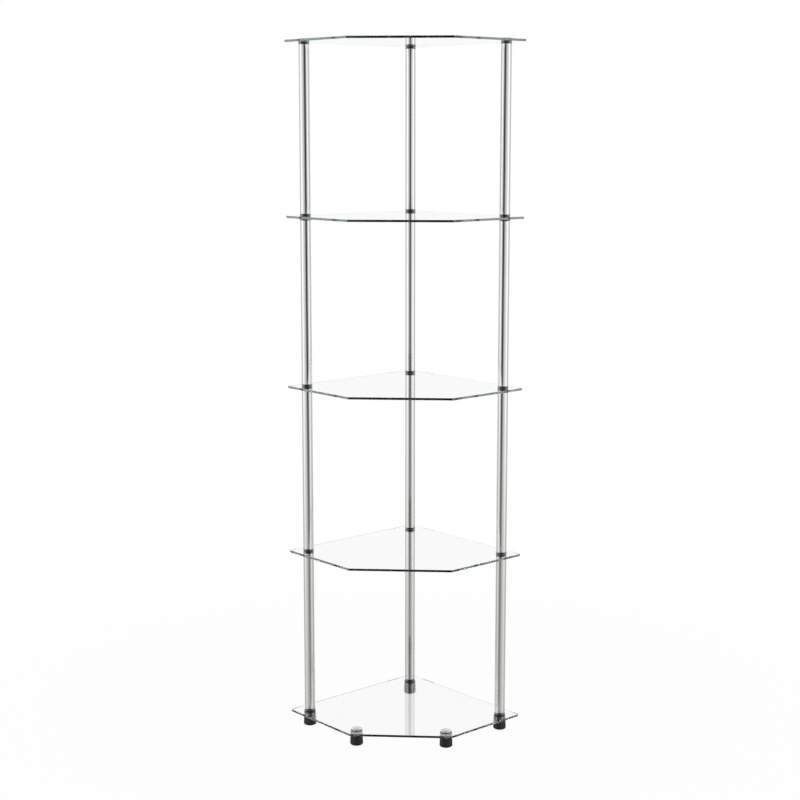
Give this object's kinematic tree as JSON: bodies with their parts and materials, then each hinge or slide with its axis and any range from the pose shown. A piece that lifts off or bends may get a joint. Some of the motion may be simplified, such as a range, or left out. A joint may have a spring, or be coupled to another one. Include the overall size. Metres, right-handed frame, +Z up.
{
  "type": "corner etagere",
  "caption": "Tall corner etagere: clear glass shelves with a cut front corner, stacked on polished steel tube posts with black end plugs, domed caps and tapered black feet.",
  "frame": {"origin": "on the floor, under the middle of the overall box", "axes": "+Z up, +Y to the shelves' square back corner, which goes into the corner of a room, and the straight front edge faces -Y"},
  "size_m": [0.4218, 0.3318, 1.2552],
  "materials": {
    "shelf_glass": "clear float glass, polished edges that look dark green",
    "tube_metal": "bright polished tube with a faint drawn grain along its length",
    "black_plastic": "moulded, glossy black",
    "cap_metal": "polished plating on a turned cap",
    "stud_steel": "zinc-plated thread"
  },
  "bodies": {
    "root": {"domed_caps": "cap_metal", "end_plugs_back_1": "black_plastic", "end_plugs_back_2": "black_plastic", "end_plugs_back_3": "black_plastic", "end_plugs_back_4": "black_plastic", "end_plugs_left_1": "black_plastic", "end_plugs_left_2": "black_plastic", "end_plugs_left_3": "black_plastic", "end_plugs_left_4": "black_plastic", "end_plugs_right_1": "black_plastic", "end_plugs_right_2": "black_plastic", "end_plugs_right_3": "black_plastic", "end_plugs_right_4": "black_plastic", "feet": "black_plastic", "foot_studs": "stud_steel", "glass_shelf_1": "shelf_glass", "glass_shelf_2": "shelf_glass", "glass_shelf_3": "shelf_glass", "glass_shelf_4": "shelf_glass", "glass_shelf_5": "shelf_glass", "joining_studs_shelf_2": "stud_steel", "joining_studs_shelf_3": "stud_steel", "joining_studs_shelf_4": "stud_steel", "post_tube_back_1": "tube_metal", "post_tube_back_2": "tube_metal", "post_tube_back_3": "tube_metal", "post_tube_back_4": "tube_metal", "post_tube_left_1": "tube_metal", "post_tube_left_2": "tube_metal", "post_tube_left_3": "tube_metal", "post_tube_left_4": "tube_metal", "post_tube_right_1": "tube_metal", "post_tube_right_2": "tube_metal", "post_tube_right_3": "tube_metal", "post_tube_right_4": "tube_metal"}
  },
  "joints": []
}
